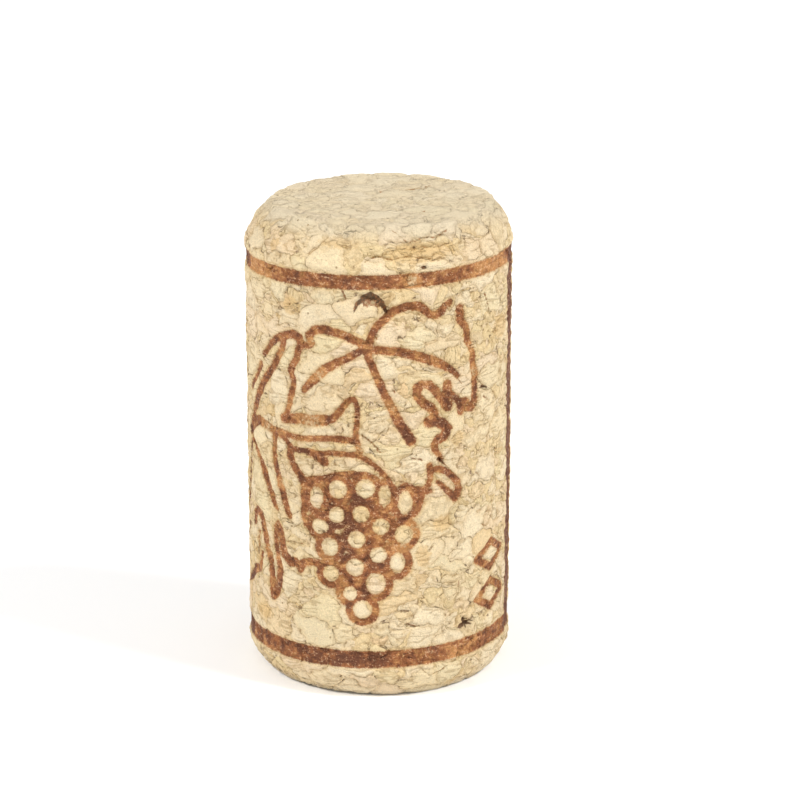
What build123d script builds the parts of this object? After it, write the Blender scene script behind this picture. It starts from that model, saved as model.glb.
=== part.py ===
"""Wine cork of pressed granules, with a fire-branded frame, vine leaves and a bunch of grapes.

Millimetres. The cork stands on its base at the origin and +Z runs along its axis.
The middle of the drawing faces -Y. A place on the wall is (s, z): s is the arc length
to the right of the front line and z is the height.
"""

import math
import os

from build123d import *

# Cork body
diameter = 21.0
length = 38.0
base_bevel_in = 1.2
base_bevel_up = 2.0
top_bevel_in = 1.9
top_bevel_down = 2.8
bevel_bulge = 0.12

# Everything burnt into the wall is this deep
brand_depth = 0.15

# Rings near both ends, and the upright bar that joins them on the right
upper_ring_inset = 3.35
upper_ring_width = 1.2
lower_ring_inset = 2.7
lower_ring_width = 1.45
ring_tilt = 1.2
bar_angle = 81.0
bar_width = 2.4

# The drawing is given in millimetres for rings whose inner edges are at these heights
drawn_low = 4.2
drawn_high = 33.5

# Widths of the drawing's lines, and of the burnt rim round each grape
leaf_line = 0.72
fine_line = 0.6
vein_line = 0.8
band_line = 0.52
grape_rim = 0.62
grape_sides = 10

# The one large pit between the granules
pit_s = -0.9
pit_z = 32.7
pit_radius = 0.75
pit_depth = 0.5

# Lines of the drawing: a width, then the points that the line runs through
upper_leaf = [
    (leaf_line, [(-0.9, 29.0), (-2.1, 29.6), (-3.1, 30.0), (-4.3, 30.1), (-5.3, 30.0), (-6.3, 28.7)]),
    (leaf_line, [(-6.4, 28.8), (-6.9, 29.3), (-7.9, 29.1), (-9.0, 28.5), (-10.6, 27.0)]),
    (fine_line, [(-6.3, 28.8), (-6.8, 27.4), (-7.3, 26.5), (-7.1, 25.8), (-7.8, 22.8)]),
    (fine_line, [(-11.1, 26.1), (-12.7, 24.1)]),
    (leaf_line, [(-8.0, 28.7), (-8.8, 27.1), (-10.3, 25.2)]),
    (leaf_line, [(-10.2, 25.3), (-11.4, 23.8), (-13.0, 20.9)]),
    (leaf_line, [(-0.8, 28.9), (-0.5, 29.9), (0.2, 30.9), (1.2, 31.8), (2.3, 32.2), (3.4, 31.9)]),
    (leaf_line, [(3.8, 31.6), (4.5, 31.3), (5.2, 31.6), (5.7, 32.1)]),
    (fine_line, [(6.7, 31.8), (6.9, 30.5), (7.5, 29.7), (7.5, 28.9), (8.1, 27.6), (8.1, 26.4)]),
    (fine_line, [(8.1, 26.6), (8.4, 25.8), (8.3, 24.0), (7.9, 23.3), (7.3, 23.9), (6.9, 23.3), (6.5, 24.2)]),
    (fine_line, [(6.8, 23.9), (5.8, 24.6)]),
    (vein_line, [(5.6, 25.7), (5.5, 24.8), (5.6, 23.8)]),
    (leaf_line, [(5.5, 23.9), (4.5, 25.4), (3.8, 25.8), (3.1, 25.5)]),
    (leaf_line, [(3.0, 25.6), (3.3, 24.8), (4.5, 23.5)]),
]
veins = [
    (fine_line, [(-0.9, 28.8), (-3.5, 27.4), (-6.2, 24.9)]),
    (vein_line, [(-0.9, 28.8), (1.4, 28.65), (3.2, 28.1), (4.8, 27.4), (6.5, 26.1)]),
    (leaf_line, [(-0.9, 28.7), (-0.1, 26.4), (0.9, 24.3), (2.5, 21.3)]),
    (fine_line, [(-12.9, 19.4), (-11.0, 17.5), (-9.0, 14.6)]),
    (fine_line, [(-9.0, 21.0), (-9.4, 19.5), (-9.0, 17.8), (-7.6, 14.4)]),
]
tendril = [
    (leaf_line, [(3.8, 22.8), (4.7, 22.8), (5.4, 22.4), (5.5, 21.8), (4.9, 21.3), (4.5, 20.8)]),
    (leaf_line, [(4.6, 21.1), (4.5, 20.6), (4.7, 20.1), (5.2, 19.4)]),
    (fine_line, [(1.9, 18.1), (2.7, 17.6), (3.5, 17.5), (4.1, 17.9), (4.2, 19.1)]),
    (fine_line, [(4.1, 18.8), (5.0, 18.8), (5.9, 18.2), (6.6, 17.5), (6.6, 16.8), (6.3, 16.2)]),
    (fine_line, [(6.4, 16.2), (5.7, 16.9), (4.9, 17.8)]),
    (fine_line, [(3.1, 17.5), (3.3, 16.5), (3.0, 15.6), (2.0, 15.1), (1.2, 15.2)]),
]
lower_leaf = [
    (band_line, [(-13.0, 20.6), (-12.0, 21.3), (-10.8, 21.3), (-9.4, 21.1), (-7.8, 21.1)]),
    (band_line, [(-8.0, 21.1), (-6.5, 21.1), (-5.0, 21.3), (-3.4, 21.5), (-1.6, 21.4)]),
    (band_line, [(-1.4, 20.3), (-1.7, 21.5), (-1.6, 24.0), (-2.1, 24.8)]),
    (leaf_line, [(-2.0, 24.8), (-2.8, 23.9), (-3.5, 23.1), (-4.6, 22.8), (-8.2, 22.4)]),
    (band_line, [(-8.0, 20.9), (-7.5, 20.1), (-6.2, 20.2), (-4.9, 20.1), (-3.8, 20.3)]),
    (band_line, [(-3.9, 20.3), (-2.4, 20.3), (-1.2, 20.1), (-0.2, 19.4), (0.9, 18.2), (1.4, 15.6)]),
    (leaf_line, [(-5.6, 19.9), (-4.9, 19.8), (-4.2, 19.6)]),
    (leaf_line, [(-7.4, 20.2), (-7.5, 19.5), (-7.2, 18.8), (-6.7, 18.1), (-5.8, 17.5)]),
]
side_leaf = [
    (fine_line, [(-12.7, 12.8), (-12.2, 13.6), (-11.5, 13.7), (-11.0, 12.9), (-10.2, 10.5)]),
    (vein_line, [(-10.3, 10.8), (-9.9, 9.8), (-9.7, 8.6), (-9.6, 7.4)]),
    (fine_line, [(-9.4, 7.6), (-8.8, 8.5), (-8.7, 9.4), (-9.0, 10.8), (-9.3, 12.4), (-8.9, 13.5)]),
    (leaf_line, [(-9.0, 13.5), (-8.3, 11.5), (-7.7, 10.7), (-7.1, 10.8)]),
    (leaf_line, [(-7.3, 10.8), (-6.6, 10.4), (-6.2, 11.0), (-5.0, 11.2)]),
    (fine_line, [(-11.5, 10.0), (-11.8, 8.9), (-12.9, 8.7), (-13.5, 7.9), (-15.5, 6.9)]),
]

# Lozenge outlines beside the bar: s and z of the middle, half width, half height
lozenges = [
    (10.6, 10.4, 2.0, 1.3),
    (10.6, 7.4, 2.0, 1.3),
]

# Pale middles of the grapes: s, z, half width, half height
grapes = [
    (-3.2, 17.4, 0.73, 0.73),
    (-1.0, 17.6, 0.75, 0.75),
    (0.5, 17.0, 0.45, 0.85),
    (-5.0, 16.5, 0.55, 0.85),
    (2.1, 16.4, 0.55, 0.95),
    (-3.3, 15.3, 0.62, 0.62),
    (-1.35, 15.5, 0.65, 0.65),
    (0.2, 14.5, 0.65, 0.65),
    (-4.7, 14.2, 0.68, 0.6),
    (2.0, 13.8, 0.7, 0.75),
    (-1.7, 13.4, 0.68, 0.68),
    (-3.9, 12.6, 0.68, 0.74),
    (0.0, 12.2, 0.63, 0.63),
    (1.5, 11.5, 0.6, 0.8),
    (-1.85, 11.1, 0.7, 0.7),
    (-3.8, 10.4, 0.63, 0.63),
    (-0.2, 9.8, 0.76, 0.86),
    (-2.25, 8.9, 0.56, 0.56),
    (-1.25, 7.6, 0.74, 0.74),
]

# Worked out from the sizes above
radius = diameter / 2
field_low = lower_ring_inset + lower_ring_width
field_high = length - upper_ring_inset - upper_ring_width
drawing_scale = (field_high - field_low) / (drawn_high - drawn_low)


def on_wall(s, z):
    """The arc length and the height on this cork of a place in the drawing."""
    return s * drawing_scale, field_low + (z - drawn_low) * drawing_scale


def sideways(s, middle):
    """How far an arc length s is to the side of a middle one, seen straight on at that middle."""
    return radius * math.sin((s - middle) / radius)


def outwards(flat, s):
    """A flat shape that faces out at arc length s, pushed out past the wall."""
    angle = s / radius
    right = (math.cos(angle), math.sin(angle), 0)
    out = (math.sin(angle), -math.cos(angle), 0)
    return Plane(origin=(0, 0, 0), x_dir=right, z_dir=out) * extrude(flat, radius * 1.2)


def line_end(point, way, half):
    """The two corners of a line's blunt end. It runs half a width past its last point."""
    x, y = point
    u, v = way
    return [(x + half * (u - v * side), y + half * (v + u * side)) for side in (0.5, -0.5)]


def line_corners(points, half):
    """The corners round a line that is half wide on each side, with its bends mitred."""
    steps = [(b[0] - a[0], b[1] - a[1]) for a, b in zip(points, points[1:])]
    ways = [(x / math.hypot(x, y), y / math.hypot(x, y)) for x, y in steps]
    left = []
    right = []
    for (x, y), before, after in zip(points, ways[:1] + ways, ways + ways[-1:]):
        u = before[0] + after[0]
        v = before[1] + after[1]
        both = math.hypot(u, v)
        mitre = min(2 / both, 1.5) * half / both
        left.append((x - v * mitre, y + u * mitre))
        right.append((x + v * mitre, y - u * mitre))
    back = (-ways[0][0], -ways[0][1])
    return left + line_end(points[-1], ways[-1], half) + right[::-1] + line_end(points[0], back, half)


def burnt_line(width, points):
    """The cutter for one line of the drawing."""
    placed = [on_wall(s, z) for s, z in points]
    across = [s for s, z in placed]
    middle = (min(across) + max(across)) / 2
    corners = line_corners(placed, width * drawing_scale / 2)
    flat = make_face(Polyline([(sideways(s, middle), z) for s, z in corners], close=True))
    return outwards(flat, middle)


def burnt_lozenge(s, z, wide, high):
    """The cutter for a lozenge outline."""
    middle, height = on_wall(s, z)
    flats = []
    for grow in (leaf_line, -leaf_line):
        x = sideways(middle + (wide + grow) * drawing_scale, middle)
        y = (high + grow * high / wide) * drawing_scale
        corners = [(x, height), (0, height + y), (-x, height), (0, height - y)]
        flats.append(make_face(Polyline(corners, close=True)))
    return outwards(flats[0] - flats[1], middle)


def oval(s, z, wide, high, middle):
    """A many-sided oval, as a flat face seen straight on at the middle arc length."""
    turns = [2 * math.pi * (i + 0.5) / grape_sides for i in range(grape_sides)]
    corners = [(sideways(s + wide * math.cos(a), middle), z + high * math.sin(a)) for a in turns]
    return make_face(Polyline(corners, close=True))


def burnt_grapes():
    """The cutter for the bunch: discs that overlap, each round a middle that is left standing."""
    bunch = [(*on_wall(s, z), wide * drawing_scale, high * drawing_scale) for s, z, wide, high in grapes]
    middle = sum(s for s, z, wide, high in bunch) / len(bunch)
    rim = grape_rim * drawing_scale
    discs = []
    middles = []
    for s, z, wide, high in bunch:
        discs.append(oval(s, z, wide + rim, high + rim, middle))
        middles.append(oval(s, z, wide, high, middle))
    return outwards(discs[0] + discs[1:] - middles, middle)


def burnt_ring(height, width):
    """The cutter for a ring: a slab that rises a little to the right."""
    return Pos(0, 0, height) * Rot(0, -ring_tilt, 0) * Box(diameter * 2, diameter * 2, width)


def burnt_bar():
    """The cutter for the upright bar. Its ends lie within the rings."""
    height = field_high - field_low + (lower_ring_width + upper_ring_width) / 2
    flat = Pos(0, (field_high + field_low) / 2) * Rectangle(bar_width, height)
    return outwards(flat, math.radians(bar_angle) * radius)


def pit():
    """The cone that hollows out the pit. It is widest outside the wall."""
    s, z = on_wall(pit_s, pit_z)
    out = Vector(math.sin(s / radius), -math.cos(s / radius), 0)
    place = Plane(origin=out * (radius - pit_depth) + Vector(0, 0, z), z_dir=out)
    align = (Align.CENTER, Align.CENTER, Align.MIN)
    return place * Cone(pit_radius * 0.4, pit_radius * 1.6, pit_depth * 2, align=align)


# The body is turned about the axis, with its seam at the back. Each bevel bulges a little
profile = Polyline(
    (0, 0),
    (radius - base_bevel_in, 0),
    (radius - base_bevel_in / 2 + bevel_bulge, base_bevel_up / 2 - bevel_bulge),
    (radius, base_bevel_up),
    (radius, length - top_bevel_down),
    (radius - top_bevel_in / 2 + bevel_bulge, length - top_bevel_down / 2 + bevel_bulge),
    (radius - top_bevel_in, length),
    (0, length),
    close=True,
)
body = revolve(Plane.YZ * make_face(profile), Axis.Z)

# The skin of the cork is cut right through by every burnt shape and put back on the core
inside = Rot(0, 0, 90) * Cylinder(radius - brand_depth, length * 3)
burnt = [
    burnt_ring(field_low - lower_ring_width / 2, lower_ring_width),
    burnt_ring(field_high + upper_ring_width / 2, upper_ring_width),
    burnt_bar(),
    burnt_grapes(),
]
lines = upper_leaf + veins + tendril + lower_leaf + side_leaf
burnt += [burnt_line(width, points) for width, points in lines]
burnt += [burnt_lozenge(*lozenge) for lozenge in lozenges]
skin = body - inside - burnt
cork = (body & inside) + skin - pit()

os.makedirs("parts", exist_ok=True)
export_step(cork, "parts/cork.step")
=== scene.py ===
"""Looks of the wine cork: pressed granules with a burnt frame, vine leaves and a bunch of grapes.

Laid out as an add-on and run as a script. Places on the wall are (s, z) in millimetres: s is the
arc length to the right of the front line, which faces -Y, and z is the height above the base.
"""

import math

import bpy
import numpy as np
from bpy.props import FloatProperty, FloatVectorProperty, IntProperty, PointerProperty
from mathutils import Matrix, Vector


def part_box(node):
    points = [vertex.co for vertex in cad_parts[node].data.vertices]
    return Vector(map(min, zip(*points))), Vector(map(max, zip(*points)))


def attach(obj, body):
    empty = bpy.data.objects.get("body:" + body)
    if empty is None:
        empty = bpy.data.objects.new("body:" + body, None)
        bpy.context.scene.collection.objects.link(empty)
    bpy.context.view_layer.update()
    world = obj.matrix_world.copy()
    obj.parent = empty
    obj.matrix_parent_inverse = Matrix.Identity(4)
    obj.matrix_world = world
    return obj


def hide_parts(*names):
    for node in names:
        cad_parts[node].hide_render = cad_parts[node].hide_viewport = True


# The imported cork's box gives the looks their radius and length
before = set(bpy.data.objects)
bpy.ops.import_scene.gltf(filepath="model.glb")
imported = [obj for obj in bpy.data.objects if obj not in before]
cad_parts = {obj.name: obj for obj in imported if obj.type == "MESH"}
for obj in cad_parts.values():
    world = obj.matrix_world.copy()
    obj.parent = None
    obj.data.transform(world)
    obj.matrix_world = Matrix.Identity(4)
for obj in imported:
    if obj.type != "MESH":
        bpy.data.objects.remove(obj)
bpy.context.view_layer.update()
CORK_LOW, CORK_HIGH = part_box("cork")

bl_info = {
    "name": "Wine Cork",
    "version": (1, 0, 0),
    "blender": (4, 5, 0),
    "location": "3D View > Sidebar > Cork",
    "description": "Builds a cork of pressed granules with a burnt drawing, and the studio it stands in",
    "category": "Add Mesh",
}

MM = 0.001

# The burnt drawing. Each line has its width at both ends, then the points that it runs through
UPPER_LEAF = [
    (0.72, 0.7, [(-0.9, 29.0), (-1.5, 29.4), (-2.3, 29.7), (-3.1, 30.0), (-4.2, 30.15),
                 (-5.0, 30.05), (-5.6, 29.5)]),
    (0.6, 0.6, [(-5.6, 29.4), (-5.25, 29.0), (-5.5, 28.75), (-6.2, 28.6)]),
    (0.75, 0.55, [(-6.3, 28.7), (-6.5, 29.2), (-7.1, 29.4), (-8.0, 29.1), (-9.0, 28.6),
                  (-9.7, 28.0), (-10.7, 27.0)]),
    (0.65, 0.6, [(-6.4, 28.7), (-6.6, 28.1), (-6.7, 27.5), (-7.1, 26.9), (-7.4, 26.4),
                 (-7.1, 25.9), (-7.1, 25.2)]),
    (0.6, 0.55, [(-7.1, 25.2), (-7.4, 24.2), (-7.6, 23.4), (-7.9, 22.7)]),
    (0.6, 0.5, [(-11.1, 26.1), (-11.7, 25.3), (-12.3, 24.5), (-13.0, 23.7)]),
    (0.62, 0.75, [(-8.0, 28.7), (-8.3, 28.0), (-8.8, 27.1), (-9.4, 26.3), (-10.2, 25.4),
                  (-11.0, 24.4)]),
    (0.8, 0.7, [(-11.0, 24.4), (-11.6, 23.4), (-12.2, 22.5), (-13.0, 21.0)]),
    (0.62, 0.75, [(-0.75, 28.9), (-0.5, 29.9), (-0.1, 30.6), (0.5, 31.2), (1.2, 31.8),
                  (2.2, 32.15), (3.1, 32.1)]),
    (0.75, 0.6, [(3.1, 32.1), (3.6, 31.8), (4.0, 31.4), (4.5, 31.25), (5.0, 31.4), (5.3, 31.8),
                 (5.8, 32.1)]),
    (0.75, 0.6, [(6.75, 31.5), (6.8, 31.2), (6.8, 30.5), (7.3, 30.0), (7.5, 29.3), (7.5, 28.8),
                 (7.8, 28.3)]),
    (0.55, 0.78, [(7.8, 28.3), (8.1, 27.7), (8.1, 27.0), (8.15, 26.5), (8.4, 26.0), (8.3, 25.4),
                  (8.3, 24.4)]),
    (0.8, 0.85, [(8.3, 24.4), (8.3, 23.8), (8.0, 23.3), (7.6, 23.45), (7.3, 23.9), (6.9, 23.3)]),
    (0.75, 0.6, [(6.9, 23.4), (6.8, 23.9), (6.4, 24.3), (6.0, 24.7)]),
    (0.8, 0.85, [(5.6, 25.6), (5.6, 24.8), (5.35, 24.4), (5.7, 23.8)]),
    (0.75, 0.72, [(5.5, 23.9), (5.0, 24.6), (4.5, 25.3), (4.0, 25.8), (3.4, 25.9), (3.0, 25.6)]),
    (0.72, 0.82, [(3.0, 25.5), (3.1, 24.9), (3.6, 24.3), (4.2, 23.9), (4.5, 23.4)]),
]
VEINS = [
    (0.6, 0.85, [(-0.9, 28.9), (-1.8, 28.4), (-2.6, 27.9), (-3.4, 27.5), (-4.2, 27.0),
                 (-5.0, 26.2)]),
    (0.85, 0.55, [(-5.0, 26.2), (-5.7, 25.5), (-6.1, 25.0)]),
    (0.7, 0.82, [(-0.9, 28.8), (0.4, 28.75), (1.8, 28.55), (3.2, 28.1), (4.5, 27.6)]),
    (0.82, 0.45, [(4.5, 27.6), (5.5, 27.0), (6.1, 26.6), (6.55, 26.1)]),
    (0.58, 0.7, [(-0.9, 28.6), (-0.5, 27.6), (0.0, 26.4), (0.6, 25.0)]),
    (0.7, 0.9, [(0.6, 25.0), (1.1, 24.0), (1.7, 22.8), (2.2, 22.0), (2.55, 21.4)]),
    (0.5, 0.8, [(-12.9, 19.4), (-12.0, 18.6), (-11.2, 17.8), (-10.6, 17.0), (-10.1, 16.2)]),
    (0.8, 0.45, [(-10.1, 16.2), (-9.6, 15.4), (-9.05, 14.7)]),
    (0.6, 0.75, [(-9.1, 21.0), (-9.3, 20.2), (-9.4, 19.3), (-9.2, 18.4), (-8.9, 17.5),
                 (-8.5, 16.5), (-8.1, 15.5)]),
    (0.76, 0.6, [(-8.1, 15.5), (-7.8, 14.9), (-7.6, 14.5)]),
]
TENDRIL = [
    (0.95, 0.85, [(4.0, 22.8), (4.6, 22.8), (5.2, 22.5), (5.6, 22.0), (5.4, 21.5), (4.9, 21.3)]),
    (0.85, 0.35, [(4.8, 21.3), (4.5, 20.9), (4.6, 20.4), (4.9, 20.0), (5.2, 19.5)]),
    (0.25, 0.62, [(1.8, 18.1), (2.4, 17.8), (3.0, 17.5), (3.6, 17.4), (4.0, 17.6), (4.2, 18.2),
                  (4.1, 19.2)]),
    (0.6, 0.5, [(2.9, 17.0), (3.5, 17.1), (4.1, 17.2)]),
    (0.55, 0.72, [(4.1, 18.8), (4.8, 18.9), (5.5, 18.6), (6.1, 18.1), (6.6, 17.5), (6.7, 16.8),
                  (6.4, 16.2)]),
    (0.72, 0.4, [(6.4, 16.2), (5.9, 16.7), (5.4, 17.2), (4.8, 17.8)]),
    (0.6, 0.5, [(3.2, 17.4), (3.4, 16.7), (3.2, 16.0), (2.9, 15.5), (2.3, 15.2), (1.6, 15.2)]),
]
LOWER_LEAF = [
    (0.95, 0.6, [(-13.4, 20.1), (-12.4, 21.0), (-11.6, 21.4), (-10.6, 21.3), (-9.6, 21.1),
                 (-8.6, 21.1), (-7.8, 21.1)]),
    (0.52, 0.6, [(-8.0, 21.1), (-7.0, 21.1), (-6.0, 21.15), (-5.0, 21.3), (-4.0, 21.45),
                 (-3.0, 21.5), (-1.7, 21.4)]),
    (0.5, 0.45, [(-1.4, 20.5), (-1.7, 21.4), (-1.75, 22.3), (-1.6, 23.2), (-1.6, 24.1),
                 (-1.8, 24.7)]),
    (0.5, 0.75, [(-1.9, 24.8), (-2.4, 24.6), (-2.8, 24.0), (-3.2, 23.5), (-3.7, 23.0),
                 (-4.4, 22.8)]),
    (0.95, 0.85, [(-4.2, 22.9), (-5.2, 22.7), (-6.4, 22.7), (-7.4, 22.5), (-8.1, 22.4)]),
    (0.5, 0.5, [(-9.0, 20.9), (-8.4, 20.9), (-7.9, 20.7), (-7.5, 20.1), (-6.6, 20.1),
                (-5.6, 20.2), (-4.6, 20.1)]),
    (0.5, 0.48, [(-4.6, 20.1), (-3.8, 20.3), (-2.8, 20.3), (-1.8, 20.3), (-1.0, 20.0),
                 (-0.3, 19.5), (0.3, 18.9)]),
    (0.48, 0.5, [(0.3, 18.9), (0.8, 18.3), (1.1, 17.6), (1.3, 16.9)]),
    (0.4, 0.85, [(-5.8, 20.0), (-5.0, 19.85), (-4.3, 19.55)]),
    (0.72, 0.7, [(-7.4, 20.2), (-7.6, 19.5), (-7.3, 18.9), (-6.9, 18.4), (-6.4, 17.9),
                 (-6.1, 17.3), (-6.2, 16.6)]),
    (0.7, 0.6, [(-6.2, 16.6), (-6.1, 15.8), (-6.2, 15.0), (-6.0, 14.2)]),
    (0.62, 0.55, [(-6.3, 17.6), (-5.4, 17.9), (-4.4, 18.1), (-3.4, 18.5), (-2.2, 18.7),
                  (-1.2, 18.7), (-0.2, 18.3)]),
]
SIDE_LEAF = [
    (0.7, 0.85, [(-13.1, 12.5), (-12.8, 13.3), (-12.2, 13.75), (-11.5, 13.6), (-11.15, 12.9),
                 (-10.95, 12.2)]),
    (0.85, 0.75, [(-10.95, 12.2), (-10.7, 11.4), (-10.35, 10.7), (-10.1, 10.2), (-9.95, 9.6),
                  (-9.85, 8.8)]),
    (0.75, 0.95, [(-9.85, 8.8), (-9.8, 8.0), (-9.65, 7.35)]),
    (0.95, 0.6, [(-9.5, 7.5), (-9.05, 8.2), (-8.85, 9.0), (-8.8, 9.8), (-9.0, 10.6), (-9.2, 11.4)]),
    (0.6, 0.75, [(-9.2, 11.4), (-9.35, 12.2), (-9.25, 13.0), (-8.95, 13.45), (-8.6, 12.95),
                 (-8.5, 12.2)]),
    (0.8, 0.9, [(-8.5, 12.2), (-8.4, 11.6), (-8.15, 11.1), (-7.6, 10.65)]),
    (0.8, 0.7, [(-7.6, 10.6), (-7.0, 10.8), (-6.6, 10.3), (-6.2, 10.9), (-5.6, 11.1),
                (-5.0, 11.1)]),
    (0.45, 0.85, [(-11.4, 10.3), (-11.6, 9.5), (-11.8, 8.9), (-12.5, 8.7), (-13.1, 8.4)]),
    (0.85, 0.6, [(-13.1, 8.4), (-13.6, 7.9), (-14.5, 7.3), (-15.5, 6.8)]),
    (0.4, 0.4, [(-11.9, 12.0), (-12.1, 11.4), (-11.9, 10.8)]),
    (0.45, 0.9, [(-13.3, 19.1), (-13.8, 17.6), (-14.2, 16.0), (-14.7, 14.4), (-15.3, 12.0),
                 (-15.6, 9.0)]),
    (0.5, 0.8, [(-15.3, 28.5), (-15.4, 25.5), (-15.4, 22.5), (-15.2, 20.5)]),
]
# Two lozenge outlines stand beside the upright bar
LOZENGES = [
    (0.68, 0.68, [(8.7, 10.5), (10.6, 11.6), (12.5, 10.5), (10.6, 9.4), (8.7, 10.5)]),
    (0.68, 0.68, [(8.7, 7.2), (10.6, 8.3), (12.5, 7.2), (10.6, 6.1), (8.7, 7.2)]),
]
# Pale middles of the grapes: s, z, half width, half height
GRAPES = [
    (-3.2, 17.4, 0.73, 0.73),
    (-1.0, 17.6, 0.75, 0.75),
    (0.5, 17.0, 0.45, 0.85),
    (-5.0, 16.5, 0.55, 0.85),
    (2.1, 16.4, 0.55, 0.95),
    (-3.3, 15.3, 0.62, 0.62),
    (-1.35, 15.5, 0.65, 0.65),
    (0.2, 14.5, 0.65, 0.65),
    (-4.7, 14.2, 0.68, 0.6),
    (2.0, 13.8, 0.7, 0.75),
    (-1.7, 13.4, 0.68, 0.68),
    (-3.9, 12.6, 0.68, 0.74),
    (0.0, 12.2, 0.63, 0.63),
    (1.5, 11.5, 0.6, 0.8),
    (-1.85, 11.1, 0.7, 0.7),
    (-3.8, 10.4, 0.63, 0.63),
    (-0.2, 9.8, 0.76, 0.86),
    (-2.25, 8.9, 0.56, 0.56),
    (-1.25, 7.6, 0.74, 0.74),
]
# Where the burn is weak and orange, or deep and dark: s, z, radius, how weak
FAINT = [
    (2.7, 34.1, 0.9, 1.15),
    (-5.6, 22.8, 1.8, 1.0),
    (-8.3, 27.5, 0.7, 1.0),
    (8.4, 26.2, 0.9, 1.0),
    (8.1, 28.2, 0.6, 1.0),
    (-1.4, 20.8, 0.7, 1.0),
    (2.9, 14.3, 1.0, 1.0),
    (2.0, 12.9, 0.6, 1.0),
    (-3.2, 8.3, 0.8, 1.0),
    (-5.3, 29.1, 0.5, 1.0),
    (-12.0, 11.2, 0.8, 1.0),
    (1.1, 24.2, 0.8, 1.0),
    (-10.4, 21.1, 1.2, 1.0),
    (-4.7, 26.5, 0.9, 1.0),
    (-8.6, 17.0, 0.7, 1.0),
    (9.0, 7.4, 0.7, 1.0),
    (-10.3, 11.0, 0.6, 1.0),
    (-12.5, 34.0, 3.6, 0.5),
    (10.5, 34.2, 4.6, 0.45),
    (7.0, 3.5, 2.5, 0.3),
    (-4.5, 3.3, 3.5, -0.5),
    (-2.6, 14.3, 1.6, -0.8),
    (-1.6, 16.4, 0.9, -0.7),
    (-2.6, 12.2, 0.8, -0.5),
    (-6.4, 19.9, 1.0, -0.6),
    (-0.9, 9.3, 0.8, -0.5),
    (-9.9, 3.2, 2.6, -0.1),
    (-1.0, 3.3, 3.0, -0.4),
    (-4.0, 34.1, 4.5, -0.15),
    (2.3, 21.8, 0.8, -0.6),
    (5.0, 22.0, 1.5, -0.4),
    (6.3, 24.0, 1.2, -0.5),
]
# Hollows between granules, painted darker the deeper they are as painted shade: width at both ends, depth,
# points
HOLLOWS = [
    (0.24, 0.5, 0.35, [(-1.75, 31.9), (-1.55, 32.4), (-1.15, 32.7)]),
    (0.6, 0.62, 0.4, [(-1.15, 32.75), (-0.6, 33.0), (-0.1, 32.75)]),
    (0.46, 0.3, 0.4, [(-0.1, 32.75), (0.25, 32.5), (0.4, 32.2), (0.6, 31.8)]),
    (0.44, 0.34, 0.25, [(-0.9, 32.35), (-0.4, 32.45), (0.0, 32.2)]),
    (0.22, 0.12, 0.25, [(-2.7, 33.2), (-2.5, 32.7)]),
    (0.56, 0.36, 0.5, [(7.15, 5.35), (7.5, 5.5), (7.95, 5.35)]),
    (0.34, 0.4, 0.4, [(7.35, 5.95), (7.45, 5.4)]),
    (0.16, 0.22, 0.25, [(2.25, 6.3), (2.8, 6.1)]),
    (0.12, 0.22, 0.2, [(-1.2, 21.9), (-0.5, 21.3), (0.1, 20.7)]),
    (0.1, 0.12, 0.15, [(0.1, 22.0), (0.5, 22.4)]),
    (0.34, 0.2, 0.35, [(4.9, 19.6), (5.4, 19.2)]),
    (0.12, 0.08, 0.15, [(5.4, 19.2), (5.8, 18.8), (6.2, 18.3)]),
    (0.42, 0.24, 0.4, [(9.2, 24.7), (9.7, 24.5)]),
    (0.16, 0.1, 0.25, [(9.4, 23.9), (9.9, 23.6)]),
    (0.14, 0.1, 0.2, [(6.6, 25.9), (6.9, 25.5)]),
    (0.12, 0.16, 0.2, [(8.7, 25.5), (9.3, 24.8)]),
    (0.14, 0.14, 0.2, [(10.9, 29.0), (11.15, 28.8)]),
    (0.14, 0.08, 0.15, [(-11.0, 30.8), (-11.8, 30.5)]),
    (0.16, 0.16, 0.2, [(3.1, 31.5), (3.2, 31.45)]),
    (0.14, 0.1, 0.2, [(8.6, 17.8), (8.9, 17.5)]),
    (0.14, 0.14, 0.2, [(9.3, 13.4), (9.75, 13.1)]),
    (0.12, 0.1, 0.15, [(6.8, 9.2), (6.7, 8.7)]),
    (0.12, 0.16, 0.15, [(4.0, 12.3), (4.4, 12.7)]),
    (0.16, 0.16, 0.2, [(1.2, 25.5), (1.25, 25.45)]),
    (0.18, 0.18, 0.2, [(-0.15, 29.8), (-0.1, 29.75)]),
    (0.14, 0.14, 0.2, [(-9.05, 5.5), (-8.95, 5.75)]),
    (0.1, 0.14, 0.15, [(-6.3, 12.4), (-7.5, 12.4), (-7.9, 12.3)]),
    (0.14, 0.14, 0.2, [(2.6, 20.0), (3.4, 19.8)]),
    (0.12, 0.12, 0.15, [(-1.0, 35.7), (-0.2, 36.1), (0.9, 35.8), (2.3, 36.0), (4.2, 35.7)]),
    (0.1, 0.18, 0.15, [(2.5, 37.0), (3.7, 37.2), (5.1, 37.2), (6.0, 37.5)]),
    (0.06, 0.1, 0.1, [(0.3, 37.9), (1.0, 37.7), (2.3, 36.9)]),
    (0.12, 0.08, 0.12, [(2.6, 36.4), (3.6, 36.6), (4.6, 36.5), (5.8, 36.6)]),
    (0.08, 0.14, 0.12, [(3.2, 2.7), (3.6, 2.3), (4.3, 1.7), (5.0, 2.0), (5.6, 2.3)]),
    (0.26, 0.26, 0.35, [(3.5, 35.1), (3.7, 35.1)]),
    (0.14, 0.1, 0.2, [(9.4, 32.2), (9.8, 31.4), (10.2, 30.4)]),
    (0.14, 0.06, 0.15, [(-5.2, 36.4), (-5.7, 36.0), (-5.9, 35.6)]),
    (0.18, 0.12, 0.3, [(-10.0, 33.9), (-9.5, 34.2)]),
]
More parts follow.
